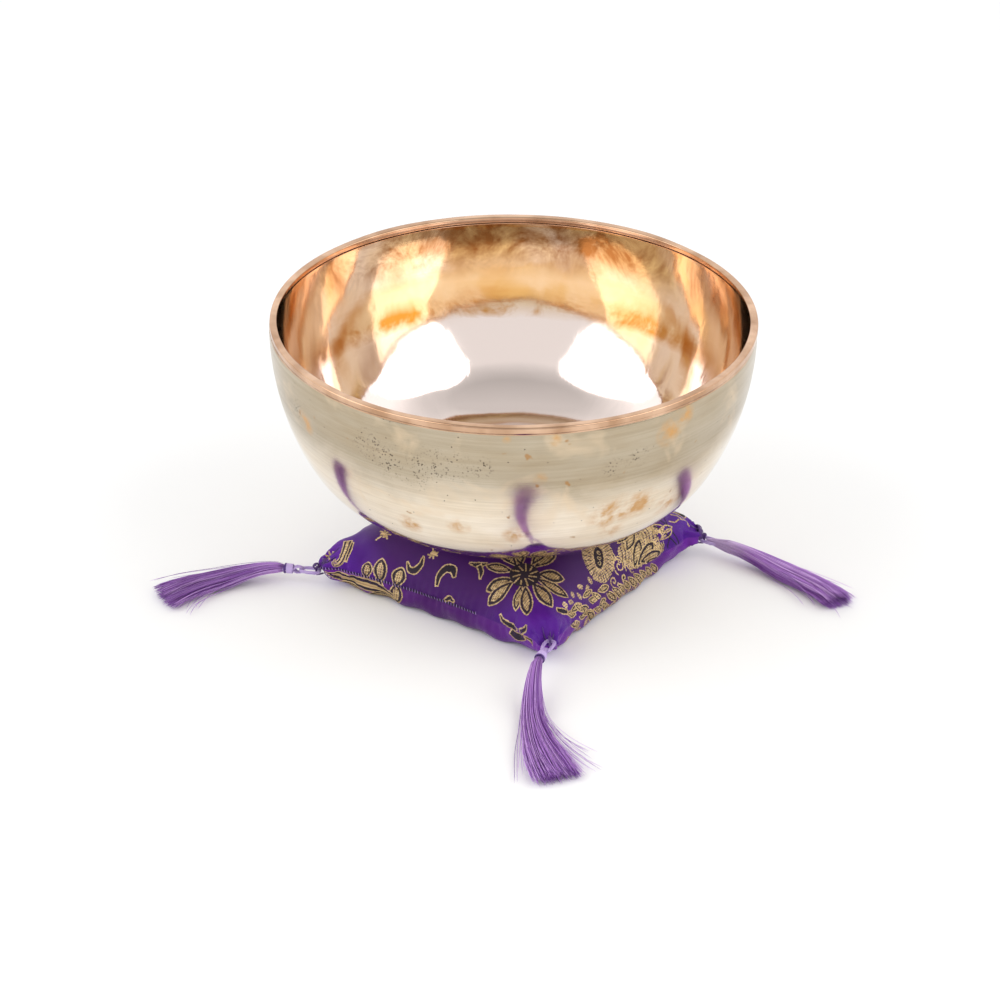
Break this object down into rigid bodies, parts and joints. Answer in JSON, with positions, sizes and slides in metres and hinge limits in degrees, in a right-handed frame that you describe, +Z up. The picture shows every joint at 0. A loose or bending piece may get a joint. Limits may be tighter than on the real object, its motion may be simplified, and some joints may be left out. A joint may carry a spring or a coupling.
{
  "type": "singing bowl",
  "caption": "Round hand-hammered bronze bowl with a flat rim, resting on a plump square brocade cushion with a long thread tassel looped to each corner.",
  "frame": {"origin": "on the bowl's axis, on the surface that the cushion lies on", "axes": "+Z up along the bowl's axis, -Y towards the cushion's front corner, +X to the right"},
  "size_m": [0.3529, 0.3991, 0.1431],
  "materials": {
    "bronze": "satin",
    "brocade": "satin",
    "filling": "matte",
    "dark_thread": "matte",
    "loop_cord": "satin",
    "tassel_thread": "satin"
  },
  "bodies": {
    "cushion": {"cover_top": "brocade", "cover_bottom": "brocade", "filling": "filling", "closing_stitches": "dark_thread", "corner_stitch_left": "dark_thread", "corner_stitch_front": "dark_thread", "corner_stitch_right": "dark_thread", "corner_stitch_back": "dark_thread"},
    "bowl": {"bowl": "bronze"},
    "loop_left": {"hanging_loop_left": "loop_cord"},
    "tassel_left": {"tassel_head_left": "loop_cord", "neck_binding_left": "loop_cord", "skirt_left": "tassel_thread"},
    "loop_front": {"hanging_loop_front": "loop_cord"},
    "tassel_front": {"tassel_head_front": "loop_cord", "neck_binding_front": "loop_cord", "skirt_front": "tassel_thread"},
    "loop_right": {"hanging_loop_right": "loop_cord"},
    "tassel_right": {"tassel_head_right": "loop_cord", "neck_binding_right": "loop_cord", "skirt_right": "tassel_thread"},
    "loop_back": {"hanging_loop_back": "loop_cord"},
    "tassel_back": {"tassel_head_back": "loop_cord", "neck_binding_back": "loop_cord", "skirt_back": "tassel_thread"}
  },
  "joints": [
    {"name": "bowl_lift", "type": "slide", "parent": "cushion", "child": "bowl", "axis": [0, 0, 1], "range_m": [0, 0.15]},
    {"name": "loop_swing_left", "type": "hinge", "parent": "cushion", "child": "loop_left", "pos_m": [-0.09878, -0.01849, 0.008], "axis": [0, 0, 1], "range_deg": [-19, 60]},
    {"name": "tassel_tilt_left", "type": "hinge", "parent": "loop_left", "child": "tassel_left", "pos_m": [-0.10666, -0.0171, 0.008], "axis": [0.1736, 0.9848, 0], "range_deg": [-75, 55]},
    {"name": "loop_swing_front", "type": "hinge", "parent": "cushion", "child": "loop_front", "pos_m": [0.01849, -0.09878, 0.0145], "axis": [0, 0, 1], "range_deg": [-10, 69]},
    {"name": "tassel_tilt_front", "type": "hinge", "parent": "loop_front", "child": "tassel_front", "pos_m": [0.01588, -0.10635, 0.0145], "axis": [-0.9455, 0.3256, 0], "range_deg": [-75, 55]},
    {"name": "loop_swing_right", "type": "hinge", "parent": "cushion", "child": "loop_right", "pos_m": [0.09878, 0.01849, 0.007], "axis": [0, 0, 1], "range_deg": [0, 83]},
    {"name": "tassel_tilt_right", "type": "hinge", "parent": "loop_right", "child": "tassel_right", "pos_m": [0.10549, 0.01413, 0.007], "axis": [-0.5446, -0.8387, 0], "range_deg": [-75, 55]},
    {"name": "loop_swing_back", "type": "hinge", "parent": "cushion", "child": "loop_back", "pos_m": [-0.01849, 0.09878, 0.012], "axis": [0, 0, 1], "range_deg": [-17, 38]},
    {"name": "tassel_tilt_back", "type": "hinge", "parent": "loop_back", "child": "tassel_back", "pos_m": [-0.01849, 0.10679, 0.012], "axis": [1, 0, 0], "range_deg": [-75, 55]}
  ]
}
